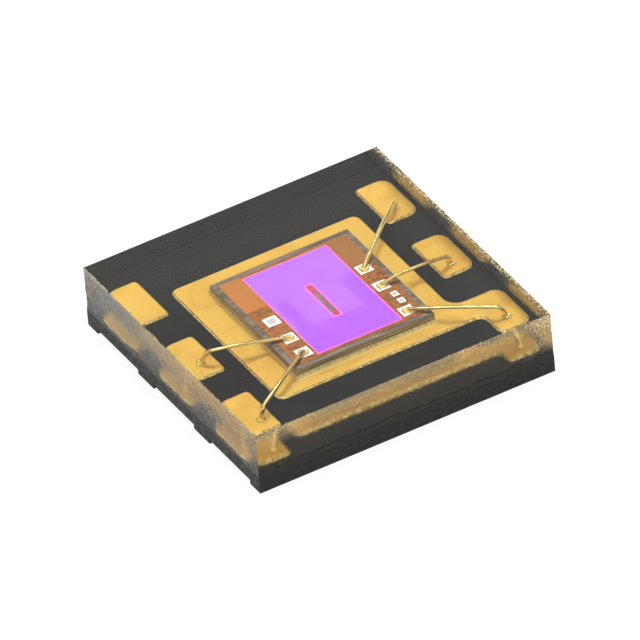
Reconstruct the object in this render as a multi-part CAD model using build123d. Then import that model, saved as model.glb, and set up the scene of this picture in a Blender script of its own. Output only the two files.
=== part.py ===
from build123d import *
import os

# Ambient light sensor: a silicon die on a black board, wired with gold and moulded into clear resin.
# The origin is the middle of the underside. X runs across the two contact columns, Y along them
# and Z up. All lengths are in millimetres.

# Package outline
PACKAGE_LENGTH = 2.0
PACKAGE_WIDTH = 2.0
BOARD_THICKNESS = 0.11
RESIN_THICKNESS = 0.31

# The middle of the gold pattern, which the saw cuts round the package missed by a little
PATTERN_X = 0.0145
PATTERN_Y = 0.02

# Contacts: numbers run down the left column, then up the right one
CONTACTS_PER_SIDE = 3
GROUND_CONTACT_NUMBER = 4
UNWIRED_CONTACT_NUMBER = 1
CONTACT_SPACING = 0.65

# Gold pads and die paddle on the board
GOLD_THICKNESS = 0.025
GOLD_EDGE_ROUNDING = 0.006
FOOT_SPREAD = 0.007
FOOT_THICKNESS = 0.007
FOOT_ROUNDING = 0.003
PAD_WIDTH = 0.208
PAD_LENGTH = 0.386
PAD_EDGE_MARGIN = 0.045
PAD_OUTER_RADIUS = 0.07
PAD_INNER_RADIUS = 0.025
PADDLE_LENGTH = 1.26
PADDLE_WIDTH = 1.272
PADDLE_CORNER_RADIUS = 0.045
NECK_WIDTH = 0.176
NECK_BEND_RADIUS = 0.1
NECK_HOLLOW_RADIUS = 0.06
FILLET_SHARE = 0.45

# Solder lands under the board, joined to the pads by plated posts
LAND_THICKNESS = 0.018
LAND_LENGTH = 0.34
LAND_WIDTH = 0.38
LAND_EDGE_MARGIN = 0.04
LAND_CORNER_RADIUS = 0.03
RECESS_DEPTH = 0.03
RECESS_CLEARANCE = 0.045
POST_RADIUS = 0.05

# Die and the glue under it
ADHESIVE_THICKNESS = 0.01
ADHESIVE_LIP = 0.004
ADHESIVE_FOOT = 0.01
ADHESIVE_FRONT_FOOT = 0.034
ADHESIVE_CLIMB = 0.012
DIE_LENGTH = 0.934
DIE_WIDTH = 1.006
DIE_THICKNESS = 0.095
DIE_SHIFT_X = 0.02
DIE_SHIFT_Y = -0.0155
SAW_LANE = 0.035

# Layers on the die
COAT_THICKNESS = 0.004
FILTER_THICKNESS = 0.005
FILTER_LENGTH = 0.58
FILTER_FRONT_MARGIN = 0.019
FILTER_BACK_MARGIN = 0.025
SLOT_LENGTH = 0.34
SLOT_WIDTH = 0.038
SLOT_SHIFT_Y = -0.015
STRIP_WIDTH = 0.02
LONG_STRIP_LENGTH = 0.205
SHORT_STRIP_LENGTH = 0.03
STRIP_GAP = 0.037
STRIP_END_MARGIN = 0.041

# Aluminium pads on the die, placed from the side and front edges of the coat
BOND_PAD_SIZE = 0.088
BOND_PAD_THICKNESS = 0.006
LEFT_PAD_MARGIN = 0.042
RIGHT_PAD_MARGIN = 0.037
BOND_PAD_FRONT = {2: 0.213, 3: 0.046, 4: 0.038, 5: 0.3325, 6: 0.5335}
SPARE_PAD_FRONT = 0.412
PROBE_PAD_LENGTH = 0.042
PROBE_PAD_WIDTH = 0.048
PROBE_PAD_MARGIN = 0.036
PROBE_PAD_FRONT = (0.2395, 0.1635)

# Gold bond wires. By contact: the ball's place from the pad's middle, the loop's height, lean and
# crest, and the run that lies down onto the bump.
WIRE_RADIUS = 0.015
BALL_RADIUS = 0.027
BALL_HEIGHT = 0.016
BALL_ROUNDING = 0.006
BALL_X = {2: 0.015, 3: 0.029, 4: 0.0, 5: -0.01, 6: 0.0}
BALL_Y = {2: -0.07, 3: -0.092, 4: -0.08, 5: -0.099, 6: -0.095}
BALL_NECK_RADIUS = 0.019
BALL_NECK_HEIGHT = 0.014
LOOP_HEIGHT = {2: 0.16, 3: 0.14, 4: 0.14, 5: 0.12, 6: 0.11}
LOOP_LEAN = {2: 0.05, 3: 0.035, 4: 0.035, 5: 0.008, 6: 0.006}
LOOP_BEND_RADIUS = 0.03
CREST_RISE = {2: 0.018, 3: 0.012, 4: 0.008, 5: 0.02, 6: 0.03}
CREST_PLACE = 0.45
CREST_RADIUS = 0.4
LANDING_RUN = {2: 0.1, 3: 0.06, 4: 0.06, 5: 0.1, 6: 0.045}
LANDING_RISE = {2: 0.01, 3: 0.012, 4: 0.012, 5: 0.04, 6: 0.02}
LANDING_RADIUS = 0.03
BUMP_RADIUS = 0.03
BUMP_HEIGHT = 0.013
STITCH_RADIUS = 0.02
STITCH_HEIGHT = 0.009
STITCH_SINK = 0.004

# Heights worked out from the stack
BOARD_TOP = BOARD_THICKNESS
GOLD_TOP = BOARD_TOP + GOLD_THICKNESS
DIE_BOTTOM = GOLD_TOP + ADHESIVE_THICKNESS
DIE_TOP = DIE_BOTTOM + DIE_THICKNESS
COAT_TOP = DIE_TOP + COAT_THICKNESS
BOND_PAD_TOP = DIE_TOP + BOND_PAD_THICKNESS

# Lines across the board worked out from the outline
PAD_OUTER_X = PACKAGE_LENGTH / 2 - PAD_EDGE_MARGIN
PAD_INNER_X = PAD_OUTER_X - PAD_WIDTH
PAD_MIDDLE_X = PAD_OUTER_X - PAD_WIDTH / 2
COAT_LENGTH = DIE_LENGTH - 2 * SAW_LANE
COAT_WIDTH = DIE_WIDTH - 2 * SAW_LANE
CONTACTS = range(1, 2 * CONTACTS_PER_SIDE + 1)


def side(contact):
    """-1 for the left column, +1 for the right one."""
    return -1 if contact <= CONTACTS_PER_SIDE else 1


def row_y(contact):
    """Y of a contact's row: numbers fall towards the front on the left and rise on the right."""
    middle = (CONTACTS_PER_SIDE + 1) / 2
    if side(contact) < 0:
        return (middle - contact) * CONTACT_SPACING
    return (contact - CONTACTS_PER_SIDE - middle) * CONTACT_SPACING


def rounded(points, radii):
    """Flat face inside a closed outline whose corners are rounded by radii."""
    return make_face(FilletPolyline(*points, radius=radii, close=True))


def slab(face, bottom, thickness):
    """Flat plate of a face's outline whose underside is at height bottom."""
    return Pos(0, 0, bottom) * extrude(face, amount=thickness, dir=(0, 0, 1))


def block(length, width, bottom, thickness, x=0, y=0):
    """Straight block whose underside is at height bottom."""
    low = (Align.CENTER, Align.CENTER, Align.MIN)
    return Pos(x, y, bottom) * Box(length, width, thickness, align=low)


def disc(radius, bottom, thickness, x, y):
    """Upright cylinder whose underside is at height bottom."""
    low = (Align.CENTER, Align.CENTER, Align.MIN)
    return Pos(x, y, bottom) * Cylinder(radius, thickness, align=low)


def soften_top(solid, radius):
    """Round the edges of the topmost face."""
    return fillet(solid.faces().sort_by(Axis.Z)[-1].edges(), radius)


def limited(radius, wall):
    """A corner radius, kept within its share of the wall beside it."""
    return min(radius, FILLET_SHARE * wall)


def on_pattern(x, y):
    """A place on the board given from the middle of the gold pattern."""
    return x + PATTERN_X, y + PATTERN_Y


def on_die(x, y):
    """A place on the board given from the middle of the die."""
    return on_pattern(x + DIE_SHIFT_X, y + DIE_SHIFT_Y)


# Board, lands and posts

def land_recess(contact):
    """Cutter for the recess that holds one land and runs out through the side of the board."""
    far = side(contact) * PACKAGE_LENGTH
    near = side(contact) * (PACKAGE_LENGTH / 2 - LAND_EDGE_MARGIN - LAND_LENGTH - RECESS_CLEARANCE)
    half = LAND_WIDTH / 2 + RECESS_CLEARANCE
    y = row_y(contact)
    points = [(near, y - half), (far, y - half), (far, y + half), (near, y + half)]
    corner = LAND_CORNER_RADIUS + RECESS_CLEARANCE
    return slab(rounded(points, [corner, 0, 0, corner]), 0, RECESS_DEPTH)


def solder_land(contact):
    """Flat land on the roof of its recess."""
    x = side(contact) * (PACKAGE_LENGTH / 2 - LAND_EDGE_MARGIN - LAND_LENGTH / 2)
    outline = Pos(x, row_y(contact)) * RectangleRounded(LAND_LENGTH, LAND_WIDTH, LAND_CORNER_RADIUS)
    return Pos(0, 0, RECESS_DEPTH - LAND_THICKNESS) * extrude(outline, amount=LAND_THICKNESS)


def via_post(contact):
    """Plated post from a land up to the gold above it."""
    x, y = on_pattern(side(contact) * PAD_MIDDLE_X, row_y(contact))
    return disc(POST_RADIUS, RECESS_DEPTH, BOARD_TOP - RECESS_DEPTH, x, y)


def base_board():
    """Black board with a recess for each land and a hole for each post."""
    board = block(PACKAGE_LENGTH, PACKAGE_WIDTH, 0, BOARD_THICKNESS)
    for contact in CONTACTS:
        board -= land_recess(contact)
        board -= via_post(contact)
    return board


# Gold on the board

def plated(points, radii):
    """Gold on the board: a thick body with a rounded top edge, over a thin foot that spreads past it."""
    face = rounded([on_pattern(x, y) for x, y in points], radii)
    foot = slab(offset(face, amount=FOOT_SPREAD), BOARD_TOP, FOOT_THICKNESS)
    body = slab(face, BOARD_TOP, GOLD_THICKNESS)
    return soften_top(foot, FOOT_ROUNDING) + soften_top(body, GOLD_EDGE_ROUNDING)


def lead_pad(contact):
    """Gold pad with two wide corner arcs on its outer side."""
    inner = side(contact) * PAD_INNER_X
    outer = side(contact) * PAD_OUTER_X
    low = row_y(contact) - PAD_LENGTH / 2
    high = row_y(contact) + PAD_LENGTH / 2
    points = [(inner, low), (outer, low), (outer, high), (inner, high)]
    radii = [PAD_INNER_RADIUS, PAD_OUTER_RADIUS, PAD_OUTER_RADIUS, PAD_INNER_RADIUS]
    return plated(points, radii)


def die_paddle():
    """Gold square under the die, with a neck to the ground lug at its front right corner."""
    left = -PADDLE_LENGTH / 2
    right = PADDLE_LENGTH / 2
    front = -PADDLE_WIDTH / 2
    back = PADDLE_WIDTH / 2
    neck_back = front + NECK_WIDTH
    lug_front = row_y(GROUND_CONTACT_NUMBER) - PAD_LENGTH / 2
    hollow = limited(NECK_HOLLOW_RADIUS, front - lug_front)
    bend = limited(NECK_BEND_RADIUS, PAD_OUTER_X - right)
    corners = [
        ((left, front), PADDLE_CORNER_RADIUS),
        ((PAD_INNER_X, front), hollow),
        ((PAD_INNER_X, lug_front), limited(PADDLE_CORNER_RADIUS, front - lug_front)),
        ((PAD_OUTER_X, lug_front), PAD_OUTER_RADIUS),
        ((PAD_OUTER_X, neck_back), PAD_OUTER_RADIUS),
        ((right, neck_back), bend),
        ((right, back), PADDLE_CORNER_RADIUS),
        ((left, back), PADDLE_CORNER_RADIUS),
    ]
    points = [point for point, radius in corners]
    radii = [radius for point, radius in corners]
    return plated(points, radii)


# Die and its glue

def sensor_die():
    """Plain silicon block."""
    return block(DIE_LENGTH, DIE_WIDTH, DIE_BOTTOM, DIE_THICKNESS, *on_die(0, 0))


def glue_outline(spread, front_spread, height):
    """Outline outside the die with round corners, further out in front, at a height."""
    width = DIE_WIDTH + spread + front_spread
    rim = RectangleRounded(DIE_LENGTH + 2 * spread, width, spread)
    x, y = on_die(0, (spread - front_spread) / 2)
    return Pos(x, y, height) * rim


def die_adhesive():
    """Glue layer that creeps out from under the die, most in front, and a little way up its sides."""
    foot = glue_outline(ADHESIVE_LIP + ADHESIVE_FOOT, ADHESIVE_LIP + ADHESIVE_FRONT_FOOT, GOLD_TOP)
    lip = glue_outline(ADHESIVE_LIP, ADHESIVE_LIP, DIE_BOTTOM + ADHESIVE_CLIMB)
    return loft([foot, lip]) - sensor_die()


# Layers on the die

def diode_strips():
    """The two light-sensitive strips that lie end to end under the slot of the filter."""
    low = SLOT_SHIFT_Y - SLOT_LENGTH / 2 + STRIP_END_MARGIN
    long_y = low + LONG_STRIP_LENGTH / 2
    short_y = long_y + LONG_STRIP_LENGTH / 2 + STRIP_GAP + SHORT_STRIP_LENGTH / 2
    strips = Part()
    for y, length in ((long_y, LONG_STRIP_LENGTH), (short_y, SHORT_STRIP_LENGTH)):
        strips += block(STRIP_WIDTH, length, DIE_TOP, COAT_THICKNESS, *on_die(0, y))
    return strips


def pad_place(hand, length, width, margin, front):
    """Middle of a metal pad on the die, hand being -1 for its left edge and +1 for its right one."""
    x = hand * (COAT_LENGTH / 2 - margin - length / 2)
    y = -COAT_WIDTH / 2 + front + width / 2
    return on_die(x, y)


def bond_pad_place(contact):
    """Middle of a contact's metal pad on the die."""
    margin = LEFT_PAD_MARGIN if side(contact) < 0 else RIGHT_PAD_MARGIN
    front = BOND_PAD_FRONT[contact]
    return pad_place(side(contact), BOND_PAD_SIZE, BOND_PAD_SIZE, margin, front)


def aluminium_pad(length, width, place):
    """Thin metal rectangle on the die."""
    return block(length, width, DIE_TOP, BOND_PAD_THICKNESS, *place)


def aluminium_pads():
    """Every metal pad on the die by name."""
    pads = {}
    for contact in BOND_PAD_FRONT:
        place = bond_pad_place(contact)
        pads[f"bond_pad_{contact}"] = aluminium_pad(BOND_PAD_SIZE, BOND_PAD_SIZE, place)
    place = pad_place(-1, BOND_PAD_SIZE, BOND_PAD_SIZE, LEFT_PAD_MARGIN, SPARE_PAD_FRONT)
    pads["spare_bond_pad"] = aluminium_pad(BOND_PAD_SIZE, BOND_PAD_SIZE, place)
    for number, front in enumerate(PROBE_PAD_FRONT, start=1):
        place = pad_place(1, PROBE_PAD_LENGTH, PROBE_PAD_WIDTH, PROBE_PAD_MARGIN, front)
        pads[f"probe_pad_{number}"] = aluminium_pad(PROBE_PAD_LENGTH, PROBE_PAD_WIDTH, place)
    return pads


def surface_coat(pads):
    """Brown coat inside the saw lane, open over the metal pads and the light-sensitive strips."""
    coat = block(COAT_LENGTH, COAT_WIDTH, DIE_TOP, COAT_THICKNESS, *on_die(0, 0))
    coat -= diode_strips()
    for pad in pads.values():
        coat -= pad
    return coat


def filter_film():
    """Violet filter with a slot through its middle."""
    width = COAT_WIDTH - FILTER_FRONT_MARGIN - FILTER_BACK_MARGIN
    middle = on_die(0, (FILTER_FRONT_MARGIN - FILTER_BACK_MARGIN) / 2)
    film = block(FILTER_LENGTH, width, COAT_TOP, FILTER_THICKNESS, *middle)
    return film - block(SLOT_WIDTH, SLOT_LENGTH, COAT_TOP, FILTER_THICKNESS, *on_die(0, SLOT_SHIFT_Y))


# Bond wires

def ball_place(contact):
    """Middle of a wire's ball on its pad."""
    return on_pattern(side(contact) * PAD_MIDDLE_X + BALL_X[contact], row_y(contact) + BALL_Y[contact])


def wire_ball(x, y):
    """Pressed ball on the gold with the cone that the capillary leaves on it."""
    ball = disc(BALL_RADIUS, GOLD_TOP, BALL_HEIGHT, x, y)
    ball = fillet(ball.edges().filter_by(GeomType.CIRCLE), BALL_ROUNDING)
    low = (Align.CENTER, Align.CENTER, Align.MIN)
    cone = Cone(BALL_NECK_RADIUS, WIRE_RADIUS, BALL_NECK_HEIGHT, align=low)
    return ball + Pos(x, y, GOLD_TOP + BALL_HEIGHT) * cone


def wire_stitch(x, y):
    """Flat bump on the die with the pressed end of the wire on it."""
    bump = disc(BUMP_RADIUS, BOND_PAD_TOP, BUMP_HEIGHT, x, y)
    bump = fillet(bump.edges().filter_by(GeomType.CIRCLE), BALL_ROUNDING)
    return bump + disc(STITCH_RADIUS, BOND_PAD_TOP + BUMP_HEIGHT, STITCH_HEIGHT, x, y)


def wire_path(contact, start, end):
    """Out of the ball with a lean, over a tight bend, then a long flat arch and a short run onto the bump."""
    along = Vector(end.X - start.X, end.Y - start.Y, 0).normalized()
    bend = Vector(start.X, start.Y, GOLD_TOP + LOOP_HEIGHT[contact]) + along * LOOP_LEAN[contact]
    landing = end - along * LANDING_RUN[contact] + Vector(0, 0, LANDING_RISE[contact])
    crest = bend + (landing - bend) * CREST_PLACE + Vector(0, 0, CREST_RISE[contact])
    bends = [LOOP_BEND_RADIUS, CREST_RADIUS, LANDING_RADIUS]
    return FilletPolyline(start, bend, crest, landing, end, radius=bends)


def bond_wire(contact):
    """One gold wire: ball on the pad, loop, and stitch on the die."""
    ball_x, ball_y = ball_place(contact)
    end_x, end_y = bond_pad_place(contact)
    start = Vector(ball_x, ball_y, GOLD_TOP + BALL_HEIGHT / 2)
    end = Vector(end_x, end_y, BOND_PAD_TOP + BUMP_HEIGHT + STITCH_SINK)
    path = wire_path(contact, start, end)
    section = Plane(origin=path @ 0, z_dir=path % 0) * Circle(WIRE_RADIUS)
    loop = sweep(section, path=path)
    return wire_ball(ball_x, ball_y) + loop + wire_stitch(end_x, end_y)


# Resin

def clear_encapsulant(buried):
    """Clear block on the board, with a cavity that fits each buried piece."""
    resin = block(PACKAGE_LENGTH, PACKAGE_WIDTH, BOARD_TOP, RESIN_THICKNESS)
    for piece in buried:
        resin -= piece
    return resin


def build():
    """Every piece by node name."""
    under = {"base_board": base_board()}
    for contact in CONTACTS:
        under[f"solder_land_{contact}"] = solder_land(contact)
        under[f"via_post_{contact}"] = via_post(contact)
    buried = {"die_paddle": die_paddle()}
    for contact in CONTACTS:
        if contact != GROUND_CONTACT_NUMBER:
            buried[f"lead_pad_{contact}"] = lead_pad(contact)
    pads = aluminium_pads()
    buried["die_adhesive"] = die_adhesive()
    buried["sensor_die"] = sensor_die()
    buried["surface_coat"] = surface_coat(pads)
    buried["photodiode_strips"] = diode_strips()
    buried["filter_film"] = filter_film()
    buried.update(pads)
    for contact in CONTACTS:
        if contact != UNWIRED_CONTACT_NUMBER:
            buried[f"bond_wire_{contact}"] = bond_wire(contact)
    resin = {"clear_encapsulant": clear_encapsulant(buried.values())}
    return {**under, **buried, **resin}


os.makedirs("parts", exist_ok=True)
for name, piece in build().items():
    export_step(piece, f"parts/{name}.step")
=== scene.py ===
"""Finish of a clear-moulded ambient light sensor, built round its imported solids.

The part stands on its board with its resin upwards. Lengths are in metres, and in the node trees of
the finishes they are in millimetres. X runs across the two contact columns, Y along them and Z up.
"""

import logging
from dataclasses import dataclass, field
from enum import Enum

import bpy
import numpy as np
from mathutils import Matrix, Vector


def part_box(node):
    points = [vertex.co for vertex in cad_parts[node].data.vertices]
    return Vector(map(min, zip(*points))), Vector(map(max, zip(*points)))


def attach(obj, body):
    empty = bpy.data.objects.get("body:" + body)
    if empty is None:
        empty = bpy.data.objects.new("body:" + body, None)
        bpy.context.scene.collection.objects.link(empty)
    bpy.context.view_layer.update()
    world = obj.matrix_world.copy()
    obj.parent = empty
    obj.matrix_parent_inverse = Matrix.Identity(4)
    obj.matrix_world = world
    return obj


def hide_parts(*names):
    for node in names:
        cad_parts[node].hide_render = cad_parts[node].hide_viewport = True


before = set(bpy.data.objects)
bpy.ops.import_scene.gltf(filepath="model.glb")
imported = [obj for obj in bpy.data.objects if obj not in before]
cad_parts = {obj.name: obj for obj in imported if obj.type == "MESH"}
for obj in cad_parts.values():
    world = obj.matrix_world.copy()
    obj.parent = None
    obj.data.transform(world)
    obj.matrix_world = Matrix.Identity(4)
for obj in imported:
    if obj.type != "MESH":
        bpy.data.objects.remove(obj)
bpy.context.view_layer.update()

MM = 0.001
MICRON = 0.000001
SEED = 7
RESIN_IOR = 1.5
BEVEL_SAMPLES = 6
LOG = logging.getLogger("light_sensor")

Colour = tuple[float, float, float, float]
Range = tuple[float, float]
Socket = bpy.types.NodeSocket
Node = bpy.types.Node


class Tree:
    """Node tree of a material or of the world, with short ways to add to it."""

    def __init__(self, owner: bpy.types.ID) -> None:
        """Empty the owner's tree.

        Args:
            owner: Material or world that the tree belongs to.
        """
        owner.use_nodes = True
        self.tree = owner.node_tree
        self.tree.nodes.clear()

    def add(self, kind: str, **inputs: object) -> Node:
        """Add one node and fill its inputs.

        Args:
            kind: Node type without its leading ShaderNode.
            **inputs: Sockets or constants by input name, with _ for a space.

        Returns:
            The new node.
        """
        node = self.tree.nodes.new("ShaderNode" + kind)
        for name, value in inputs.items():
            self.feed(node.inputs[name.replace("_", " ")], value)
        return node

    def feed(self, target: Socket, value: object) -> None:
        """Link a socket to an input, or set the input to a constant.

        Args:
            target: Input to fill.
            value: Socket or constant.
        """
        if isinstance(value, bpy.types.NodeSocket):
            self.tree.links.new(value, target)
        else:
            target.default_value = value

    def math(self, operation: str, first: object, second: object = 0.0) -> Socket:
        """Take one arithmetic step on two values.

        Args:
            operation: Name of the operation, such as MULTIPLY.
            first: Socket or number.
            second: Socket or number.

        Returns:
            The result's socket.
        """
        node = self.add("Math")
        node.operation = operation
        self.feed(node.inputs[0], first)
        self.feed(node.inputs[1], second)
        return node.outputs[0]

    def between(self, factor: Socket, low: float, high: float) -> Socket:
        """Pick a number between two numbers.

        Args:
            factor: Share of the way from low to high.
            low: Number at 0.
            high: Number at 1.

        Returns:
            The number's socket.
        """
        node = self.add("MapRange")
        self.feed(node.inputs["Value"], factor)
        node.inputs["To Min"].default_value = low
        node.inputs["To Max"].default_value = high
        return node.outputs[0]

    def combine(self, kind: str, first: Node, second: Node, **inputs: object) -> Node:
        """Add or mix two shaders.

        Args:
            kind: AddShader or MixShader.
            first: First shader.
            second: Second shader, which a mix shows at 1.
            **inputs: The mix's factor, as Fac.

        Returns:
            The node of the two together.
        """
        node = self.add(kind, **inputs)
        for target, shader in zip(node.inputs[-2:], (first, second)):
            self.feed(target, shader.outputs[0])
        return node

    def close(self, output: str, shader: Node) -> None:
        """End the tree in a shader, through OutputMaterial or OutputWorld."""
        self.feed(self.add(output).inputs["Surface"], shader.outputs[0])

    def seen(self) -> Socket:
        """Mark the rays that show the background: straight, in metal or through resin.

        Returns:
            The mark's socket, 1 on such rays.
        """
        path = self.add("LightPath").outputs
        shown = self.math("MAXIMUM", path["Is Camera Ray"], path["Is Glossy Ray"])
        return self.math("MAXIMUM", shown, path["Is Transmission Ray"])


class Graph(Tree):
    """Builds one finish as a node tree. Places and scales in it are in millimetres."""

    def __init__(self, name: str) -> None:
        """Start an empty tree whose texture place is the part's own frame.

        Args:
            name: Name of the material.
        """
        self.material = bpy.data.materials.new(name)
        super().__init__(self.material)
        mapping = self.add("Mapping", Vector=self.add("TexCoord").outputs["Object"])
        mapping.inputs["Scale"].default_value = (1 / MM, 1 / MM, 1 / MM)
        self.place = mapping.outputs[0]
        self.x, self.y, self.z = self.split(self.place)
        self.facing = self.add("NewGeometry").outputs["Normal"]
        self.tilt_x, _, self.up = self.split(self.facing)

    def split(self, vector: Socket) -> tuple[Socket, Socket, Socket]:
        """Take a vector apart into its three numbers."""
        outputs = self.add("SeparateXYZ", Vector=vector).outputs
        return outputs[0], outputs[1], outputs[2]

    def product(self, *values: object) -> Socket:
        """Multiply some values.

        Args:
            *values: Sockets or numbers.

        Returns:
            The product's socket.
        """
        result: object = 1.0
        for value in values:
            result = self.math("MULTIPLY", result, value)
        return result

    def noise(self, scale: float, detail: float = 2.0, stretch: Vector = Vector((1, 1, 1))) -> Socket:
        """Make cloudy noise from 0 to 1.

        Args:
            scale: Cycles per millimetre.
            detail: Number of finer layers.
            stretch: Factor on the place along each axis; a small one draws the noise out.

        Returns:
            The noise's socket.
        """
        mapping = self.add("Mapping", Vector=self.place, Scale=stretch)
        node = self.add("TexNoise", Vector=mapping.outputs[0], Scale=scale, Detail=detail)
        return node.outputs["Fac"]

    def cells(self, scale: float) -> Socket:
        """Measure how far the nearest of many points is, with scale of them to a millimetre."""
        return self.add("TexVoronoi", Vector=self.place, Scale=scale).outputs["Distance"]

    def step(self, value: Socket, low: float, high: float) -> Socket:
        """Rise smoothly from 0 at low to 1 at high, or fall where low is above high.

        Args:
            value: Value that is compared.
            low: Value that gives 0.
            high: Value that gives 1.

        Returns:
            The mask's socket.
        """
        node = self.add("MapRange")
        node.interpolation_type = "SMOOTHSTEP"
        for name, item in (("Value", value), ("From Min", low), ("From Max", high)):
            self.feed(node.inputs[name], item)
        return node.outputs[0]

    def patch(self, across: Range, along: Range, blur: float) -> Socket:
        """Mask of a rectangle on the die or board.

        Args:
            across: Lowest and highest X in millimetres.
            along: Lowest and highest Y in millimetres.
            blur: Width of its soft edge in millimetres.

        Returns:
            The mask's socket, 1 inside.
        """
        sides = []
        for value, (low, high) in ((self.x, across), (self.y, along)):
            sides.append(self.step(value, low - blur, low + blur))
            sides.append(self.step(value, high + blur, high - blur))
        return self.product(*sides)

    def blend(self, factor: object, first: object, second: object) -> Socket:
        """Blend two colours.

        Args:
            factor: Share of the second colour.
            first: Colour or socket.
            second: Colour or socket.

        Returns:
            The blend's socket.
        """
        node = self.add("Mix")
        node.data_type = "RGBA"
        self.feed(node.inputs["Factor"], factor)
        self.feed(node.inputs[6], first)
        self.feed(node.inputs[7], second)
        return node.outputs[2]

    def bump(self, height: Socket, depth: float, **normal: Socket) -> Socket:
        """Bend the surface's normal, or the given one, by a height map depth microns high at 1."""
        return self.add("Bump", Height=height, Distance=depth * MICRON, **normal).outputs[0]

    def lifted(self, amount: object) -> Socket:
        """Turn the surface's normal upwards, as on an edge that is rounded over.

        Args:
            amount: Length added upwards to the normal, as a socket or number.

        Returns:
            The normal's socket.
        """
        upwards = self.add("CombineXYZ", Z=amount).outputs[0]
        total = self.vector("ADD", self.facing, upwards).outputs[0]
        return self.vector("NORMALIZE", total, upwards).outputs[0]

    def rounded(self, radius: float) -> Socket:
        """Take the normal that the surface would have with its edges rounded more.

        Args:
            radius: Radius of those edges in microns.

        Returns:
            The normal's socket.
        """
        node = self.add("Bevel", Radius=radius * MICRON)
        node.samples = BEVEL_SAMPLES
        return node.outputs[0]

    def vector(self, operation: str, first: object, second: object) -> Node:
        """Take one step on two vectors.

        Args:
            operation: Name of the operation, such as ADD.
            first: Socket or vector.
            second: Socket or vector.

        Returns:
            The step's node.
        """
        node = self.add("VectorMath")
        node.operation = operation
        self.feed(node.inputs[0], first)
        self.feed(node.inputs[1], second)
        return node

    def dot(self, first: object, second: object) -> Socket:
        """Multiply two vectors into a number."""
        return self.vector("DOT_PRODUCT", first, second).outputs["Value"]

    def finish(self, **inputs: object) -> bpy.types.Material:
        """End the tree in one principled surface with these inputs and return the material."""
        self.close("OutputMaterial", self.add("BsdfPrincipled", **inputs))
        return self.material


@dataclass(frozen=True)
class GoldPlating:
    """Matt gold with a fine grain, faint stains and a beaded, rounded rim with a painted highlight.

    The painted highlight is brightest where the rim faces the front left; the walls carry it too.
    """

    name: str = "gold_plating"
    flat: Colour = (0.87, 0.56, 0.112, 1.0)
    stain: Colour = (0.79, 0.46, 0.073, 1.0)
    # Painted rim highlight: bright beads and darker pits between them.
    highlight_bead: Colour = (1.0, 0.86, 0.40, 1.0)
    highlight_pit: Colour = (0.58, 0.36, 0.08, 1.0)
    roughness: Range = (0.38, 0.60)
    grain_scale: float = 120.0
    grain_depth: float = 0.4
    stain_scale: float = 6.0
    speck_scale: float = 70.0
    speck_share: float = 0.5
    bead_scale: float = 60.0
    rim_width: float = 12.0
    # Painted rim highlight: the way it faces most, and its share on rims facing away.
    highlight_towards: Vector = Vector((-0.47, -0.88, 0.0))
    highlight_behind: float = 0.3
    edge_turn: Range = (0.995, 0.95)
    front_turn: Range = (-0.1, 0.3)
    wall_turn: Range = (0.5, 0.2)
    rim_polish: float = 0.2
    rim_lift: float = 2.2

    def material(self) -> bpy.types.Material:
        """Make the plating's material.

        Returns:
            The finished material.
        """
        graph = Graph(self.name)
        grain = graph.noise(self.grain_scale, 3.0)
        stains = graph.step(graph.noise(self.stain_scale, 4.0), 0.3, 0.6)
        colour = graph.blend(stains, self.stain, self.flat)
        specks = graph.step(graph.noise(self.speck_scale), 0.35, 0.65)
        colour = graph.blend(graph.product(specks, self.speck_share), colour, self.flat)
        # Painted highlight: the rim colour goes on rounded edges, most where they face the front
        # left, and on walls.
        beads = graph.step(graph.cells(self.bead_scale), 0.62, 0.42)
        rounded = graph.rounded(self.rim_width)
        edge = graph.step(graph.dot(rounded, graph.facing), *self.edge_turn)
        front = graph.step(graph.dot(rounded, self.highlight_towards), *self.front_turn)
        wall = graph.step(graph.math("ABSOLUTE", graph.up), *self.wall_turn)
        edge = graph.product(edge, graph.between(front, self.highlight_behind, 1.0))
        rim = graph.math("MAXIMUM", wall, edge)
        rough = graph.between(grain, *self.roughness)
        lifted = graph.lifted(graph.product(wall, front, self.rim_lift))
        return graph.finish(
            Base_Color=graph.blend(rim, colour, graph.blend(beads, self.highlight_pit, self.highlight_bead)),
            Metallic=1.0,
            Roughness=graph.math("SUBTRACT", rough, graph.product(rim, self.rim_polish)),
            Normal=graph.bump(grain, self.grain_depth, Normal=lifted),
        )


@dataclass(frozen=True)
class DrawnGold:
    """Bright gold wire with a soft shine."""

    name: str = "gold_wire"
    bright: Colour = (1.0, 0.82, 0.34, 1.0)
    deep: Colour = (0.92, 0.62, 0.16, 1.0)
    roughness: Range = (0.14, 0.30)
    cloud_scale: float = 25.0
    grain_scale: float = 120.0
    grain_depth: float = 0.5

    def material(self) -> bpy.types.Material:
        """Make the material of the wire.

        Returns:
            The finished material.
        """
        graph = Graph(self.name)
        cloud = graph.noise(self.cloud_scale, 3.0)
        return graph.finish(
            Base_Color=graph.blend(graph.step(cloud, 0.3, 0.6), self.deep, self.bright),
            Metallic=1.0,
            Roughness=graph.between(cloud, *self.roughness),
            Normal=graph.bump(graph.noise(self.grain_scale), self.grain_depth),
        )


@dataclass(frozen=True)
class PlatedCopper:
    """Copper of the plated posts."""

    name: str = "copper_post"
    bright: Colour = (0.80, 0.42, 0.26, 1.0)
    dull: Colour = (0.55, 0.25, 0.14, 1.0)
    roughness: Range = (0.3, 0.5)
    cloud_scale: float = 30.0

    def material(self) -> bpy.types.Material:
        """Make the material of the posts.

        Returns:
            The finished material.
        """
        graph = Graph(self.name)
        cloud = graph.noise(self.cloud_scale, 3.0)
        return graph.finish(
            Base_Color=graph.blend(cloud, self.dull, self.bright),
            Metallic=1.0,
            Roughness=graph.between(cloud, *self.roughness),
        )


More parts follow.
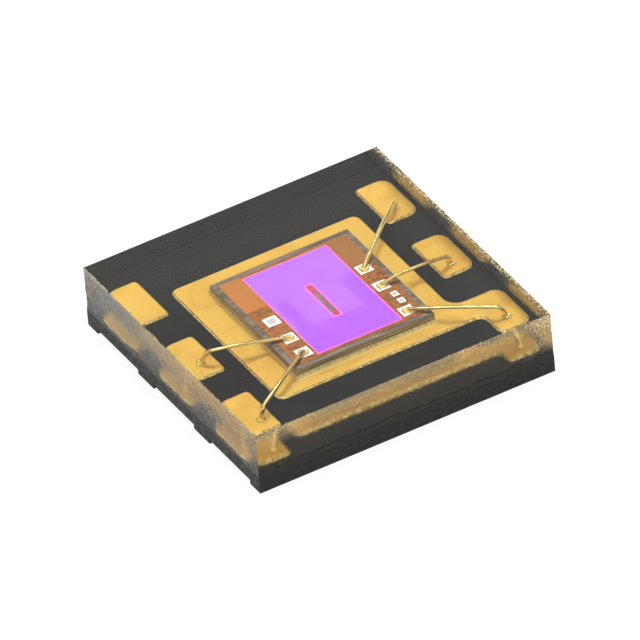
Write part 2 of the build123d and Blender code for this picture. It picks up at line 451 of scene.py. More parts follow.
@dataclass(frozen=True)
class BlackLaminate:
    """Black glass-fibre board: smooth above and below, torn and dusty along its sawn sides.

    Its top has a painted sheen, paler to the back and the right, and a lip of dust runs along its
    side edges.
    """

    name: str = "black_board"
    face: Colour = (0.001, 0.001, 0.001, 1.0)
    cloud: Colour = (0.006, 0.005, 0.004, 1.0)
    # Painted sheen on the top, towards the back and the right.
    pale: Colour = (0.030, 0.031, 0.028, 1.0)
    sawn: Colour = (0.023, 0.022, 0.021, 1.0)
    dust: Colour = (0.092, 0.084, 0.074, 1.0)
    fibre: Colour = (0.30, 0.28, 0.26, 1.0)
    cloud_scale: float = 4.0
    behind: Range = (0.0, 1.1)
    behind_share: float = 0.8
    right: Range = (0.5, 1.05)
    lip: Range = (0.08, 0.11)
    lip_share: float = 0.6
    ply_scale: float = 22.0
    ply_stretch: Vector = Vector((1.0, 1.0, 3.0))
    front_dust: float = 0.35
    fibre_scale: float = 70.0
    tear_scale: float = 50.0
    tear_depth: float = 5.0

    def material(self) -> bpy.types.Material:
        """Make the laminate's material.

        Returns:
            The finished material.
        """
        graph = Graph(self.name)
        clouds = graph.step(graph.noise(self.cloud_scale, 3.0), 0.4, 0.7)
        # Painted sheen: the top grows paler towards the back and the right.
        behind = graph.product(graph.step(graph.y, *self.behind), self.behind_share)
        painted_sheen = graph.math("MAXIMUM", behind, graph.step(graph.x, *self.right))
        top = graph.blend(painted_sheen, graph.blend(clouds, self.face, self.cloud), self.pale)
        plies = graph.noise(self.ply_scale, 4.0, self.ply_stretch)
        across = graph.step(graph.math("ABSOLUTE", graph.tilt_x), 0.4, 0.6)
        dustier = graph.between(across, self.front_dust, 1.0)
        dusty = graph.product(graph.step(plies, 0.4, 0.7), dustier)
        lip = graph.product(graph.step(graph.z, *self.lip), across, self.lip_share)
        side = graph.blend(graph.math("MAXIMUM", dusty, lip), self.sawn, self.dust)
        specks = graph.product(graph.step(graph.noise(self.fibre_scale), 0.6, 0.72), across)
        side = graph.blend(specks, side, self.fibre)
        upright = graph.step(graph.math("ABSOLUTE", graph.up), 0.6, 0.4)
        torn = graph.math("ADD", plies, graph.noise(self.tear_scale, 3.0))
        return graph.finish(
            Base_Color=graph.blend(upright, top, side),
            Roughness=0.6,
            Specular_IOR_Level=0.2,
            Normal=graph.bump(graph.product(torn, upright), self.tear_depth),
        )


@dataclass(frozen=True)
class SawnSilicon:
    """Silicon: a brown-grey saw lane on top and stripes of the saw down its sides."""

    name: str = "silicon"
    lane: Colour = (0.25, 0.195, 0.145, 1.0)
    dark: Colour = (0.13, 0.10, 0.075, 1.0)
    side: Colour = (0.72, 0.61, 0.42, 1.0)
    stripe: Colour = (0.14, 0.13, 0.12, 1.0)
    stripe_scale: float = 18.0
    stripe_stretch: Vector = Vector((0.12, 0.12, 3.5))
    stripe_depth: float = 1.0
    streak_scale: float = 34.0
    streak_stretch: Vector = Vector((0.08, 1.0, 1.0))

    def material(self) -> bpy.types.Material:
        """Make the silicon's material.

        Returns:
            The finished material.
        """
        graph = Graph(self.name)
        drawn = graph.noise(self.stripe_scale, 3.0, self.stripe_stretch)
        side = graph.blend(graph.step(drawn, 0.4, 0.6), self.stripe, self.side)
        streaks = graph.noise(self.streak_scale, 3.0, self.streak_stretch)
        lane = graph.blend(graph.step(streaks, 0.4, 0.6), self.dark, self.lane)
        return graph.finish(
            Base_Color=graph.blend(graph.step(graph.up, 0.4, 0.6), side, lane),
            Metallic=0.85,
            Roughness=0.36,
            Normal=graph.bump(drawn, self.stripe_depth),
        )


@dataclass(frozen=True)
class CuredGlue:
    """Clear glue over the gold, with a row of fine teeth at the foot of the die, painted bright as
    glints.

    Args:
        foot: Y of the die's front side in metres.
    """

    foot: float
    name: str = "glue"
    gold: Colour = (0.95, 0.64, 0.18, 1.0)
    # Painted glints on the teeth, then the darker gaps between them.
    pale: Colour = (1.0, 0.86, 0.40, 1.0)
    deep: Colour = (0.82, 0.55, 0.16, 1.0)
    shade: Colour = (0.80, 0.54, 0.18, 1.0)
    teeth_length: float = 0.018
    teeth_scale: float = 95.0
    teeth_stretch: Vector = Vector((1.0, 0.12, 0.12))
    teeth_depth: float = 2.0
    blur: float = 0.004
    lift: float = 2.0

    def material(self) -> bpy.types.Material:
        """Make the glue's material.

        Returns:
            The finished material.
        """
        graph = Graph(self.name)
        comb = graph.noise(self.teeth_scale, 1.0, self.teeth_stretch)
        edge = self.foot / MM
        tips = edge - self.teeth_length
        # Painted glints: the teeth turn pale in stripes drawn from the comb.
        teeth = graph.blend(graph.step(comb, 0.44, 0.54), self.deep, self.pale)
        colour = graph.blend(graph.step(graph.y, tips - self.blur, tips), self.gold, teeth)
        return graph.finish(
            Base_Color=graph.blend(graph.step(graph.y, edge - self.blur, edge), colour, self.shade),
            Metallic=1.0,
            Roughness=0.45,
            Normal=graph.bump(comb, self.teeth_depth, Normal=graph.lifted(self.lift)),
        )


@dataclass(frozen=True)
class BrownCoat:
    """Brown coat over the circuit, lighter over two blank areas behind, red under the slot.

    Args:
        middle: Middle of the die.
        hole: Middle of the filter's slot.
        half: Half of the slot's size.
    """

    middle: Vector
    hole: Vector
    half: Vector
    name: str = "brown_coat"
    brown: Colour = (0.50, 0.19, 0.045, 1.0)
    orange: Colour = (0.67, 0.26, 0.06, 1.0)
    tan: Colour = (0.46, 0.20, 0.06, 1.0)
    trace: Colour = (0.25, 0.085, 0.03, 1.0)
    red: Colour = (0.62, 0.10, 0.15, 1.0)
    roughness: Range = (0.14, 0.24)
    circuit_scale: float = 60.0
    circuit_stretch: Vector = Vector((0.6, 1.0, 1.0))
    cloud_scale: float = 80.0
    reach: float = 1.0
    side_gap: float = 0.29
    blank_left: float = 0.1385
    blank_right: float = 0.18
    blank_blur: float = 0.003
    slot_blur: float = 0.002

    def material(self) -> bpy.types.Material:
        """Make the coat's material.

        Returns:
            The finished material.
        """
        graph = Graph(self.name)
        x, y = self.middle.x / MM, self.middle.y / MM
        back = y + self.reach
        left_side = (x - self.reach, x - self.side_gap)
        right_side = (x + self.side_gap, x + self.reach)
        left = graph.patch(left_side, (y + self.blank_left, back), self.blank_blur)
        right = graph.patch(right_side, (y + self.blank_right, back), self.blank_blur)
        circuit = graph.noise(self.circuit_scale, 2.0, self.circuit_stretch)
        colour = graph.blend(graph.step(circuit, 0.48, 0.64), self.brown, self.trace)
        colour = graph.blend(right, colour, self.tan)
        colour = graph.blend(left, colour, self.orange)
        low, high = (self.hole - self.half) / MM, (self.hole + self.half) / MM
        slot = graph.patch((low.x, high.x), (low.y, high.y), self.slot_blur)
        return graph.finish(
            Base_Color=graph.blend(slot, colour, self.red),
            Metallic=0.9,
            Roughness=graph.between(graph.noise(self.cloud_scale), *self.roughness),
        )


@dataclass(frozen=True)
class VioletFilter:
    """Interference film, violet in the middle and pink, then orange, at its cut edges.

    A deeper ring, open to the back, lies round a paler heart.

    Args:
        low: Lowest corner of the film.
        high: Highest corner of the film.
        slot_low: Lowest corner of its slot.
        slot_high: Highest corner of its slot.
    """

    low: Vector
    high: Vector
    slot_low: Vector
    slot_high: Vector
    name: str = "violet_filter"
    pale: Colour = (0.63, 0.235, 1.0, 1.0)
    deep: Colour = (0.48, 0.125, 1.0, 1.0)
    front: Colour = (0.52, 0.14, 1.0, 1.0)
    pink: Colour = (1.0, 0.26, 0.85, 1.0)
    orange: Colour = (0.85, 0.20, 0.10, 1.0)
    pink_width: float = 0.011
    orange_width: float = 0.004
    ring_across: Range = (-0.25, 0.28)
    ring_along: Range = (-0.6, 0.12)
    ring_share: float = 0.6
    heart_across: Range = (-0.175, 0.18)
    heart_along: Range = (-0.205, 0.2)
    ring_blur: float = 0.004
    edge_blur: float = 0.002
    slot_blur: float = 0.003
    front_from: Range = (-0.17, -0.21)
    cloud_scale: float = 6.0
    cloud_share: float = 0.5

    def material(self) -> bpy.types.Material:
        """Make the film's material.

        Returns:
            The finished material.
        """
        graph = Graph(self.name)
        x = (self.low.x + self.high.x) / 2 / MM
        ring_across = (x + self.ring_across[0], x + self.ring_across[1])
        heart_across = (x + self.heart_across[0], x + self.heart_across[1])
        ring = graph.patch(ring_across, self.ring_along, self.ring_blur)
        heart = graph.patch(heart_across, self.heart_along, self.ring_blur)
        shade = graph.product(ring, graph.math("SUBTRACT", 1.0, heart), self.ring_share)
        cloud = graph.product(graph.noise(self.cloud_scale, 3.0), self.cloud_share)
        colour = graph.blend(graph.math("ADD", shade, cloud), self.pale, self.deep)
        colour = graph.blend(graph.step(graph.y, *self.front_from), colour, self.front)
        for width, tint in ((self.pink_width, self.pink), (self.orange_width, self.orange)):
            inner = self.framed(graph, self.low, self.high, -width, self.edge_blur)
            colour = graph.blend(inner, tint, colour)
        low, high = self.slot_low, self.slot_high
        slot = self.framed(graph, low, high, self.pink_width, self.slot_blur)
        colour = graph.blend(slot, colour, self.pink)
        return graph.finish(Base_Color=colour, Metallic=1.0, Roughness=0.2)

    @staticmethod
    def framed(graph: Graph, low: Vector, high: Vector, width: float, blur: float) -> Socket:
        """Mask of a box that is widened, or narrowed, on every side.

        Args:
            graph: Tree that the mask goes into.
            low: Lowest corner in metres.
            high: Highest corner in metres.
            width: Width in millimetres that is added on each side.
            blur: Width of its soft edge in millimetres.

        Returns:
            The mask's socket, 1 inside.
        """
        across = (low.x / MM - width, high.x / MM + width)
        along = (low.y / MM - width, high.y / MM + width)
        return graph.patch(across, along, blur)


@dataclass(frozen=True)
class DiodeGlass:
    """Grey-green light-sensitive silicon under the slot, red towards the slot's ends.

    Args:
        middle: Y of the slot's middle in metres.
        half: Half of the slot's length in metres.
    """

    middle: float
    half: float
    name: str = "diode"
    green: Colour = (0.20, 0.30, 0.20, 1.0)
    grey: Colour = (0.19, 0.17, 0.16, 1.0)
    red: Colour = (0.72, 0.10, 0.17, 1.0)
    red_share: Range = (0.62, 0.78)
    cloud_scale: float = 40.0

    def material(self) -> bpy.types.Material:
        """Make the material of the strips.

        Returns:
            The finished material.
        """
        graph = Graph(self.name)
        cloud = graph.step(graph.noise(self.cloud_scale), 0.4, 0.6)
        colour = graph.blend(cloud, self.grey, self.green)
        away = graph.math("ABSOLUTE", graph.math("SUBTRACT", graph.y, self.middle / MM))
        start, end = (self.half / MM * share for share in self.red_share)
        colour = graph.blend(graph.step(away, start, end), colour, self.red)
        return graph.finish(Base_Color=colour, Metallic=0.9, Roughness=0.25)


@dataclass(frozen=True)
class BrightAluminium:
    """Pad metal: a white border round a pale grey, probed middle."""

    name: str = "aluminium_pad"
    border: Colour = (0.95, 0.95, 0.92, 1.0)
    middle: Colour = (0.50, 0.45, 0.44, 1.0)
    scuffed: Colour = (0.62, 0.62, 0.60, 1.0)
    border_share: Range = (0.16, 0.24)
    scuff_scale: float = 90.0
    scuff_depth: float = 0.4

    def material(self) -> bpy.types.Material:
        """Make the material of the pads.

        Returns:
            The finished material.
        """
        graph = Graph(self.name)
        across, along, _ = graph.split(graph.add("TexCoord").outputs["Generated"])
        start, end = self.border_share
        sides = []
        for value in (across, along):
            sides.append(graph.step(value, start, end))
            sides.append(graph.step(value, 1 - start, 1 - end))
        scuffs = graph.noise(self.scuff_scale, 3.0)
        middle = graph.blend(scuffs, self.middle, self.scuffed)
        return graph.finish(
            Base_Color=graph.blend(graph.product(*sides), self.border, middle),
            Metallic=0.9,
            Roughness=0.3,
            Normal=graph.bump(scuffs, self.scuff_depth),
        )


@dataclass(frozen=True)
class Cut:
    """How one sort of face of the resin was made.

    Args:
        roughness: Lowest and highest roughness of its clouds.
        grain: Depth of its fine grain in microns.
        grain_scale: Bumps of that grain per millimetre.
        grain_stretch: Factor on their number up the face.
        tint: Colour of what shows through it.
        haze: Share of light that its frost scatters, low down and high up.
        rise: Heights in millimetres between which the haze grows.
        ends: Share of frost added towards the right end of the front, painting the gold mirrored
            there.
        dulled: Roughness added towards the left end of the front.
        speckle: Contrast of the haze's grain, from 0 to 1.
        rim: Share of frost in the speckles along its upper edge.
        edge: Heights in millimetres between which those speckles set in.
        flakes: Share of frost in the flakes scattered over it.
        cold: Colour of the frost far from the gold, at the back left, without painted glow.
        gold_glow: Colour of the frost over the gold, a painted glow of the gold behind it.
        smear: Heights in millimetres at which the black dust of the board is dense and ends.
    """

    roughness: Range
    grain: float = 0.0
    grain_scale: float = 75.0
    grain_stretch: float = 1.0
    tint: Colour = (1.0, 1.0, 0.99, 1.0)
    haze: Range = (0.0, 0.0)
    rise: Range = (0.17, 0.38)
    ends: float = 0.0
    dulled: float = 0.0
    speckle: float = 0.75
    rim: float = 0.0
    edge: Range = (0.37, 0.395)
    flakes: float = 0.0
    # Frost colour without the painted glow of the gold, and with it.
    cold: Colour = (0.52, 0.50, 0.40, 1.0)
    gold_glow: Colour = (0.66, 0.44, 0.16, 1.0)
    smear: Range = (0.02, 0.05)


class Face(Enum):
    """Sorts of face of the resin: its moulded top, its four sawn sides, and its chips."""

    MOULDED = Cut((0.0, 0.0))
    FRONT_SAW = Cut(
        roughness=(0.02, 0.09),
        grain=1.2,
        haze=(0.0, 0.36),
        rise=(0.28, 0.42),
        # Frost at the right end of the front paints the gold mirrored there.
        ends=0.34,
        dulled=0.14,
        speckle=0.6,
        rim=0.4,
        flakes=0.3,
        gold_glow=(0.97, 0.77, 0.42, 1.0),
        smear=(0.12, 0.17),
    )
    RIGHT_SAW = Cut(
        roughness=(0.14, 0.26),
        grain=14.0,
        grain_scale=36.0,
        grain_stretch=0.45,
        haze=(0.02, 0.45),
        rise=(0.22, 0.38),
        speckle=0.95,
        rim=0.9,
        edge=(0.32, 0.40),
        flakes=0.6,
        gold_glow=(0.42, 0.37, 0.29, 1.0),
        smear=(0.12, 0.15),
    )
    BACK_SAW = Cut(roughness=(0.0, 0.03), grain=0.2)
    LEFT_SAW = Cut(
        roughness=(0.10, 0.30),
        grain=2.4,
        tint=(1.0, 0.93, 0.62, 1.0),
        haze=(0.0, 0.30),
        rise=(0.19, 0.34),
        speckle=0.6,
        rim=0.42,
        flakes=0.6,
        gold_glow=(0.74, 0.50, 0.15, 1.0),
        smear=(0.08, 0.11),
    )
    CHIPPED = Cut(roughness=(0.15, 0.3), grain=3.0, haze=(0.3, 0.6), rim=0.9, flakes=0.5)


@dataclass(frozen=True)
class ClearResin:
    """Clear resin, polished by its mould or dulled by a saw.

    Args:
        face: Sort of face that the finish is for.
    """

    face: Face
    sparkle: Colour = (0.92, 0.76, 0.43, 1.0)
    dust: Colour = (0.018, 0.016, 0.012, 1.0)
    gloss: Colour = (0.55, 0.52, 0.45, 1.0)
    shine: Colour = (0.74, 0.74, 0.70, 1.0)
    worn: Range = (0.958, 0.985)
    worn_share: float = 0.75
    worn_roughness: float = 0.3
    worn_scale: float = 60.0
    wander: float = 0.09
    wander_scale: float = 16.0
    bead_scale: float = 85.0
    flake_scale: float = 80.0
    flakes_from: Range = (0.16, 0.24)
    right_end: Range = (0.76, 0.96)
    left_end: Range = (-0.70, -0.82)
    gold_from: Range = (-1.9, -0.5)
    cloud_scale: float = 9.0

    def material(self) -> bpy.types.Material:
        """Make the resin's material for its sort of face.

        Returns:
            The finished material.
        """
        graph = Graph(f"clear_resin_{self.face.name.lower()}")
        if self.face is Face.MOULDED:
            return self.moulded(graph)
        return self.sawn(graph, self.face.value)

    def moulded(self, graph: Graph) -> bpy.types.Material:
        """Finish the smooth top, which is worn along its right edge.

        Args:
            graph: Empty tree.

        Returns:
            The finished material.
        """
        beads = graph.step(graph.noise(self.worn_scale), 0.45, 0.6)
        worn = graph.product(graph.step(graph.x, *self.worn), beads, self.worn_share)
        return graph.finish(
            Base_Color=graph.blend(graph.step(worn, 0.0, 0.15), self.face.value.tint, self.sparkle),
            Transmission_Weight=graph.math("SUBTRACT", 1.0, worn),
            Roughness=graph.product(worn, self.worn_roughness),
            Specular_Tint=self.shine,
            IOR=RESIN_IOR,
        )

    def sawn(self, graph: Graph, cut: Cut) -> bpy.types.Material:
        """Finish a sawn side: grain, frost with a painted gold glow, bright flakes, the board's dust
        low down.

        Args:
            graph: Empty tree.
            cut: How the side was made.

        Returns:
            The finished material.
        """
        grain = graph.noise(cut.grain_scale, 3.0, Vector((1.0, 1.0, cut.grain_stretch)))
        shift = graph.product(graph.noise(self.wander_scale, 4.0), self.wander)
        height = graph.math("SUBTRACT", graph.math("ADD", graph.z, shift), self.wander / 2)
        above = graph.step(height, *self.flakes_from)
        # Painted reflection: frost added at the right end of the front shows the gold mirrored there.
        end = graph.product(graph.step(graph.x, *self.right_end), above, cut.ends)
        veil = graph.math("ADD", graph.between(graph.step(height, *cut.rise), *cut.haze), end)
        contrast = graph.between(graph.step(grain, 0.35, 0.65), 1 - cut.speckle, 1 + cut.speckle)
        beads = graph.step(graph.noise(self.bead_scale), 0.5, 0.62)
        rim = graph.product(graph.step(graph.z, *cut.edge), beads, cut.rim)
        flakes = graph.step(graph.noise(self.flake_scale), 0.64, 0.70)
        bright = graph.math("MAXIMUM", rim, graph.product(flakes, above, cut.flakes))
        haze = graph.math("MAXIMUM", graph.product(veil, contrast), bright)
        dust = graph.step(height, cut.smear[1], cut.smear[0])
        # Painted glow: near the gold the frost takes the gold's colour, set by place.
        gold_glow_mask = graph.step(graph.math("SUBTRACT", graph.x, graph.y), *self.gold_from)
        frost = graph.blend(gold_glow_mask, cut.cold, cut.gold_glow)
        frost = graph.blend(graph.step(bright, 0.1, 0.3), frost, self.sparkle)
        colour = graph.blend(graph.step(haze, 0.0, 0.15), cut.tint, frost)
        cover = graph.math("MAXIMUM", haze, graph.step(dust, 0.3, 0.9))
        rough = graph.between(graph.noise(self.cloud_scale, 4.0), *cut.roughness)
        dull = graph.product(graph.step(graph.x, *self.left_end), cut.dulled)
        return graph.finish(
            Base_Color=graph.blend(graph.step(dust, 0.0, 0.4), colour, self.dust),
            Transmission_Weight=graph.math("SUBTRACT", 1.0, cover),
            Roughness=graph.math("ADD", rough, dull),
            Specular_Tint=self.gloss,
            IOR=RESIN_IOR,
            Normal=graph.bump(grain, cut.grain),
        )


def dress(node: str, material: bpy.types.Material) -> None:
    """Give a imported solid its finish.

    Args:
        node: Name of the solid.
        material: Its material.
    """
    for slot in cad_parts[node].material_slots:
        slot.material = material
    LOG.info("%s: %s", node, material.name)


@dataclass
class BoardAndContacts:
    """Board, lands, posts and the gold on top."""

    contacts: int = 6
    ground: int = 4

    def build(self) -> None:
        """Dress every piece of the board."""
        gold = GoldPlating().material()
        copper = PlatedCopper().material()
        dress("base_board", BlackLaminate().material())
        dress("die_paddle", gold)
        for contact in range(1, self.contacts + 1):
            dress(f"solder_land_{contact}", gold)
            dress(f"via_post_{contact}", copper)
            if contact != self.ground:
                dress(f"lead_pad_{contact}", gold)


@dataclass
class DieStack:
    """Die with its glue, coat, filter, light-sensitive strips and metal pads."""

    slot_size: Vector = Vector((0.038, 0.34, 0.0)) * MM
    slot_shift: Vector = Vector((0.0, -0.012, 0.0)) * MM

    def build(self) -> None:
        """Dress every piece of the die."""
        low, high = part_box("sensor_die")
        film_low, film_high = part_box("filter_film")
        hole = (film_low + film_high) / 2 + self.slot_shift
        half = self.slot_size / 2
        metal = BrightAluminium().material()
        dress("sensor_die", SawnSilicon().material())
        dress("die_adhesive", CuredGlue(low.y).material())
        dress("surface_coat", BrownCoat((low + high) / 2, hole, half).material())
        dress("filter_film", VioletFilter(film_low, film_high, hole - half, hole + half).material())
        dress("photodiode_strips", DiodeGlass(hole.y, half.y).material())
        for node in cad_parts:
            if "bond_pad" in node or "probe_pad" in node:
                dress(node, metal)


@dataclass
class WireSet:
    """The five bond wires."""

    wired: tuple[int, ...] = (2, 3, 4, 5, 6)

    def build(self) -> None:
        """Dress every wire."""
        metal = DrawnGold().material()
        for contact in self.wired:
            dress(f"bond_wire_{contact}", metal)


@dataclass
class ResinBody:
    """Clear block over the board, with a moulded top, sawn sides and chipped edges.

    The sides are numbered front, right, back and left. The block's lowest ring is sunk a little into
    the board, just inside the board's edge, so that no light passes between the two.
    """

    cells_along: int = 320
    cells_up: int = 48
    rim_rings: int = 5
    rim_step: float = 6 * MICRON
    sink: float = 1 * MICRON
    inset: float = 0.5 * MICRON
    cuts: tuple[Face, ...] = (Face.FRONT_SAW, Face.RIGHT_SAW, Face.BACK_SAW, Face.LEFT_SAW)
    relief_depth: tuple[float, ...] = (1.2 * MICRON, 4 * MICRON, 0.3 * MICRON, 6 * MICRON)
    relief_layers: tuple[tuple[float, int], ...] = ((0.45, 6), (0.3, 3), (0.25, 1))
    edge_relief: float = 0.2
    edge_share: float = 0.125
    bevel: tuple[float, ...] = (0.0, 0.0, 6 * MICRON, 0.0)
    bevel_share: float = 0.25
    bevel_taper: int = 3
    chips_per_side: tuple[int, ...] = (60, 200, 20, 200)
    chip_radius: tuple[float, ...] = (9 * MICRON, 15 * MICRON, 5 * MICRON, 15 * MICRON)
    chip_size: Range = (0.35, 1.0)
    chip_offset: Range = (0.35, 0.6)
    rng: np.random.Generator = field(default_factory=lambda: np.random.default_rng(SEED))

    @property
    def around(self) -> int:
        """Number of points in each ring round the block."""
        return len(self.cuts) * self.cells_along

    def build(self) -> bpy.types.Object:
        """Make the block in place of the plain solid.

        Returns:
            The block's object.
        """
        low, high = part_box("clear_encapsulant")
        rows, chipped = self.shape(low, high)
        points = np.concatenate([rows.reshape(-1, 3), rows[[-1, 0]].mean(axis=1)])
        faces, kinds = self.faces(chipped)
        mesh = bpy.data.meshes.new("clear_resin_block")
        mesh.from_pydata(points.tolist(), [], faces)
        for face in Face:
            mesh.materials.append(ClearResin(face).material())
        mesh.polygons.foreach_set("material_index", kinds)
        mesh.update()
        block = bpy.data.objects.new("clear_resin_block", mesh)
        bpy.context.scene.collection.objects.link(block)
        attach(block, "root")
        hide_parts("clear_encapsulant")
        LOG.info("clear_resin_block: %d faces, %d points in chips", len(faces), int(chipped.sum()))
        return block

    def shape(self, low: Vector, high: Vector) -> tuple[np.ndarray, np.ndarray]:
        """Place every point, row by row up the sides and ring by ring over the rim.

        Args:
            low: Lowest corner of the block.
            high: Highest corner of the block.

        Returns:
            Array of rows, points round the block and coordinates, and which points lie in a chip.
        """
        corners = self.corners(low, high)
        ring, inward = self.outline(corners)
        middle = np.array((low + high)[:2]) / 2
        rows = self.cells_up + 1 + self.rim_rings
        points = np.zeros((rows, self.around, 3))
        relief = self.relief()
        for row in range(rows):
            up = min(row, self.cells_up) / self.cells_up
            depth = max(row - self.cells_up, 0) * self.rim_step
            share = 1 - depth * 2 / (high.x - low.x)
            points[row, :, 2] = low.z - self.sink + up * (high.z - low.z + self.sink)
            shift = relief[min(row, self.cells_up)].reshape(-1, 1) * share
            points[row, :, :2] = middle + (ring - middle) * share + inward * shift
        points[0, :, :2] += inward * self.inset
        chipped = self.chip(points, corners, high.z)
        points[..., :2] = np.clip(points[..., :2], low[:2], high[:2])
        return points, chipped

    @staticmethod
    def corners(low: Vector, high: Vector) -> np.ndarray:
        """List the block's four corners, from the front left one round by the right."""
        return np.array([(low.x, low.y), (high.x, low.y), (high.x, high.y), (low.x, high.y)])

    def outline(self, corners: np.ndarray) -> tuple[np.ndarray, np.ndarray]:
        """Place the points round the block with their inward directions.

        Args:
            corners: Corners of the block in order.

        Returns:
            Places and inward directions, two coordinates each.
        """
        share = np.arange(self.cells_along).reshape(-1, 1) / self.cells_along
        ring, inward = [], []
        for index, corner in enumerate(corners):
            along = corners[(index + 1) % len(corners)] - corner
            normal = np.array([-along[1], along[0]]) / np.linalg.norm(along)
            before = corner - corners[index - 1]
            turned = np.array([-before[1], before[0]]) / np.linalg.norm(before)
            ring.append(corner + along * share)
            inward.append(np.tile(normal, (self.cells_along, 1)))
            inward[-1][0] = normal + turned
        return np.concatenate(ring), np.concatenate(inward)

    def layer(self, cell: int) -> np.ndarray:
        """Draw smooth random relief over the unrolled sides.

        Args:
            cell: Size of its bumps in cells of the mesh.

        Returns:
            Heights from 0 to 1 by row and place round the block.
        """
        rows = self.cells_up // cell + 2
        columns = self.around // cell
        grid = self.rng.random((rows, columns))
        grid = np.concatenate([grid, grid[:, :1]], axis=1)
        down = np.arange(self.cells_up + 1) / cell
        across = np.arange(self.around) / self.around * columns
        half = np.array([np.interp(across, np.arange(columns + 1), row) for row in grid])
        return np.array([np.interp(down, np.arange(rows), column) for column in half.T]).T

    def relief(self) -> np.ndarray:
        """Work out the inward depth of the saw marks and bevels.

        Returns:
            Depth of every point of the sides, by row and place round the block.
        """
        rough = sum(share * self.layer(cell) for share, cell in self.relief_layers)
        depth = np.empty_like(rough)
        for side, deepest in enumerate(self.relief_depth):
            span = slice(side * self.cells_along, (side + 1) * self.cells_along)
            depth[:, span] = rough[:, span] * deepest
        up = np.linspace(0.0, 1.0, self.cells_up + 1)
        inside = np.clip(np.minimum(up, 1 - up) / self.edge_share, 0.0, 1.0)
        depth *= (self.edge_relief + (1 - self.edge_relief) * inside).reshape(-1, 1)
        along = np.arange(self.cells_along)
        taper = np.clip(np.minimum(along, self.cells_along - along) / self.bevel_taper, 0.0, 1.0)
        rise = np.clip((up - 1) / self.bevel_share + 1, 0.0, 1.0)
        return depth + np.outer(rise, np.outer(self.bevel, taper))

    def chip(self, points: np.ndarray, corners: np.ndarray, top: float) -> np.ndarray:
        """Push every point that lies in a chip out to the chip's round wall.

        Args:
            points: Places of the points, changed where they are.
            corners: Corners of the block in order.
            top: Height of the block's top.

        Returns:
            For each row and place round the block, whether the point was pushed.
        """
        flat = points.reshape(-1, 3)
        chipped = np.zeros(len(flat), dtype=bool)
        for side, count in enumerate(self.chips_per_side):
            start = corners[side]
            along = corners[(side + 1) % len(corners)] - start
            outward = np.array([along[1], -along[0]]) / np.linalg.norm(along)
            for share in self.rng.random(count):
                radius = self.chip_radius[side] * self.rng.uniform(*self.chip_size)
                offset = radius * self.rng.uniform(*self.chip_offset)
                centre = np.append(start + along * share + outward * offset, top + offset)
                away = flat - centre
                distance = np.linalg.norm(away, axis=1)
                hit = distance < radius
                flat[hit] = centre + away[hit] / distance[hit, None] * radius
                chipped |= hit
        return chipped.reshape(points.shape[:2])

    def faces(self, chipped: np.ndarray) -> tuple[list[list[int]], list[int]]:
        """List the faces of the block and the sort of each.

        Args:
            chipped: For each row and place round the block, whether the point lies in a chip.

        Returns:
            Point numbers of each face, and its place in the list of finishes.
        """
        order = list(Face)
        last_row = self.cells_up + self.rim_rings
        faces, kinds = [], []
        for row in range(last_row):
            for column in range(self.around):
                after = (column + 1) % self.around
                below, above = row * self.around, (row + 1) * self.around
                faces.append([below + column, below + after, above + after, above + column])
                kinds.append(order.index(self.sort(chipped, row, column, after)))
        top_centre = (last_row + 1) * self.around
        for start, centre in ((last_row * self.around, top_centre), (0, top_centre + 1)):
            for column in range(self.around):
                edge = [start + column, start + (column + 1) % self.around]
                faces.append([*(edge if start else reversed(edge)), centre])
                kinds.append(order.index(Face.MOULDED))
        return faces, kinds

    def sort(self, chipped: np.ndarray, row: int, column: int, after: int) -> Face:
        """Tell which sort of face lies at a place.

        Args:
            chipped: For each row and place round the block, whether the point lies in a chip.
            row: Row of the face's lower edge.
            column: Place of its first point round the block.
            after: Place of its next point.

        Returns:
            The sort.
        """
        if chipped[row:row + 2, [column, after]].sum() > 1:
            return Face.CHIPPED
        if row < self.cells_up:
            return self.cuts[column // self.cells_along]
        return Face.MOULDED


@dataclass(frozen=True)
class Softbox:
    """One square softbox that faces the part.

    Args:
        name: Name of the lamp.
        towards: Direction from the part to the lamp.
        distance: Distance from the part in metres.
        size: Side of the softbox in metres.
        power: Power in watts.
    """

    name: str
    towards: Vector
    distance: float
    size: float
    power: float

    def build(self) -> None:
        """Hang the softbox."""
        data = bpy.data.lights.new(self.name, "AREA")
        data.size = self.size
        data.energy = self.power
        lamp = bpy.data.objects.new(self.name, data)
        lamp.location = self.towards.normalized() * self.distance
        lamp.rotation_euler = self.towards.to_track_quat("Z", "Y").to_euler()
        bpy.context.scene.collection.objects.link(lamp)


@dataclass(frozen=True)
class PaleFloor:
    """Pale matt floor that shows the part's shadow and is clear from below."""

    name: str = "pale_floor"
    lit: Colour = (0.86, 0.86, 0.86, 1.0)
    shaded: Colour = (0.26, 0.26, 0.26, 1.0)
    white: Colour = (1.0, 1.0, 1.0, 1.0)
    glow: float = 0.85

    def material(self) -> bpy.types.Material:
        """Make the floor's material.

        Returns:
            The finished material.
        """
        graph = Graph(self.name)
        lit = graph.add("BsdfDiffuse", Color=self.lit)
        shaded = graph.add("BsdfDiffuse", Color=self.shaded)
        glow = graph.add("Emission", Color=self.white, Strength=self.glow)
        shown = graph.combine("AddShader", shaded, glow)
        upper = graph.combine("MixShader", lit, shown, Fac=graph.seen())
        under = graph.add("NewGeometry").outputs["Backfacing"]
        surface = graph.combine("MixShader", upper, graph.add("BsdfTransparent"), Fac=under)
        graph.close("OutputMaterial", surface)
        return graph.material


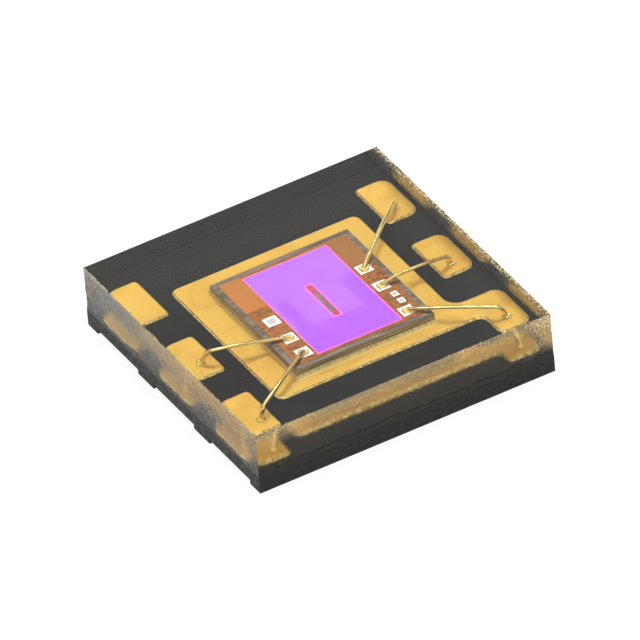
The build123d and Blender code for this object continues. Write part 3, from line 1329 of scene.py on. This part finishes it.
@dataclass
class Studio:
    """White floor, soft lights, white surroundings and a long-lens camera."""

    right: Vector = Vector((0.8599, -0.5056, -0.0727))
    down: Vector = Vector((-0.3565, -0.4921, -0.7943))
    aim: Vector = Vector((0.0, 0.0, 0.2)) * MM
    off_right: float = 0.00658 * MM
    off_down: float = -0.00177 * MM
    distance: float = 165.7 * MM
    lens: float = 1595.7
    clip_factor: float = 100.0
    floor_size: float = 1.2
    floor_level: float = -0.0001 * MM
    sky_lit: float = 0.6
    sky_seen: float = 1.0
    softboxes: tuple[Softbox, ...] = (
        Softbox("back_softbox", Vector((0.40, 0.62, 1.25)), 60 * MM, 16 * MM, 0.011),
        Softbox("front_softbox", Vector((-0.9, -1.0, 1.5)), 70 * MM, 60 * MM, 0.008),
        Softbox("spot_softbox", Vector((-0.25, -0.6, 1.0)), 60 * MM, 12 * MM, 0.004),
    )

    def build(self) -> None:
        """Set up the whole studio."""
        self.camera()
        self.floor()
        self.world()
        for softbox in self.softboxes:
            softbox.build()
        bpy.context.scene.view_settings.view_transform = "Standard"
        LOG.info("studio: camera %.1f mm away", self.distance / MM)

    def camera(self) -> None:
        """Place the camera at the picture's angle."""
        right, down = self.right.normalized(), self.down.normalized()
        away = right.cross(-down).normalized()
        data = bpy.data.cameras.new("camera")
        data.lens = self.lens
        data.clip_start = self.distance / self.clip_factor
        data.clip_end = self.distance * self.clip_factor
        camera = bpy.data.objects.new("camera", data)
        bpy.context.scene.collection.objects.link(camera)
        place = self.aim + right * self.off_right + down * self.off_down + away * self.distance
        turn = Matrix((right, -down, away)).transposed().to_4x4()
        camera.matrix_world = Matrix.Translation(place) @ turn
        bpy.context.scene.camera = camera

    def floor(self) -> None:
        """Lay a large pale floor under the board, clear from below."""
        half = self.floor_size / 2
        corners = [(-half, -half), (half, -half), (half, half), (-half, half)]
        mesh = bpy.data.meshes.new("floor")
        mesh.from_pydata([(x, y, self.floor_level) for x, y in corners], [], [(0, 1, 2, 3)])
        floor = bpy.data.objects.new("floor", mesh)
        bpy.context.scene.collection.objects.link(floor)
        mesh.materials.append(PaleFloor().material())

    def world(self) -> None:
        """Make even white surroundings."""
        world = bpy.data.worlds.new("studio")
        bpy.context.scene.world = world
        tree = Tree(world)
        level = tree.between(tree.seen(), self.sky_lit, self.sky_seen)
        tree.close("OutputWorld", tree.add("Background", Strength=level))


def main() -> None:
    """Build every sub-assembly in order."""
    logging.basicConfig(level=logging.INFO, format="%(name)s: %(message)s")
    Studio().build()
    BoardAndContacts().build()
    DieStack().build()
    WireSet().build()
    ResinBody().build()


if __name__ == "__main__":
    main()
